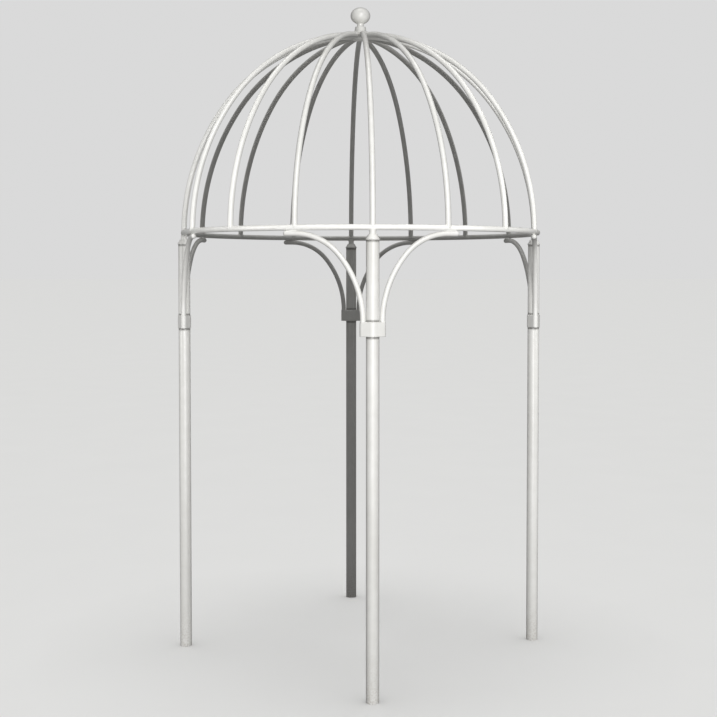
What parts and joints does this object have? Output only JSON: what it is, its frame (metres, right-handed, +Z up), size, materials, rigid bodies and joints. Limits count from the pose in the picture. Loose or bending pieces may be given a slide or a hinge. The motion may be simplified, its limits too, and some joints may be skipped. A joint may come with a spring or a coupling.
{
  "type": "domed gazebo",
  "caption": "Open round garden gazebo of white coated steel tube: corner posts, arch bars in collars, a ring and a dome of bent ribs with a ball finial.",
  "frame": {"origin": "on the ground at the middle of the four posts", "axes": "+Z up; the front doorway faces -Y, and a post stands at each corner between the axes"},
  "size_m": [1.8568, 1.8568, 3.3254],
  "materials": {
    "post_coat": "satin",
    "dome_coat": "satin",
    "fitting_coat": "satin"
  },
  "bodies": {
    "root": {"back_arch_left": "dome_coat", "back_arch_right": "dome_coat", "back_left_collar": "fitting_coat", "back_left_post": "post_coat", "back_left_post_cap": "fitting_coat", "back_right_collar": "fitting_coat", "back_right_post": "post_coat", "back_right_post_cap": "fitting_coat", "crown_hub": "fitting_coat", "dome_rib_01": "dome_coat", "dome_rib_02": "dome_coat", "dome_rib_03": "dome_coat", "dome_rib_04": "dome_coat", "dome_rib_05": "dome_coat", "dome_rib_06": "dome_coat", "dome_rib_07": "dome_coat", "dome_rib_08": "dome_coat", "dome_rib_09": "dome_coat", "dome_rib_10": "dome_coat", "dome_rib_11": "dome_coat", "dome_rib_12": "dome_coat", "dome_rib_13": "dome_coat", "dome_rib_14": "dome_coat", "dome_rib_15": "dome_coat", "dome_rib_16": "dome_coat", "finial_ball": "fitting_coat", "finial_base": "fitting_coat", "front_arch_left": "dome_coat", "front_arch_right": "dome_coat", "front_left_collar": "fitting_coat", "front_left_post": "post_coat", "front_left_post_cap": "fitting_coat", "front_right_collar": "fitting_coat", "front_right_post": "post_coat", "front_right_post_cap": "fitting_coat", "left_arch_back": "dome_coat", "left_arch_front": "dome_coat", "right_arch_back": "dome_coat", "right_arch_front": "dome_coat", "ring_back": "dome_coat", "ring_front": "dome_coat", "ring_left": "dome_coat", "ring_right": "dome_coat"}
  },
  "joints": []
}
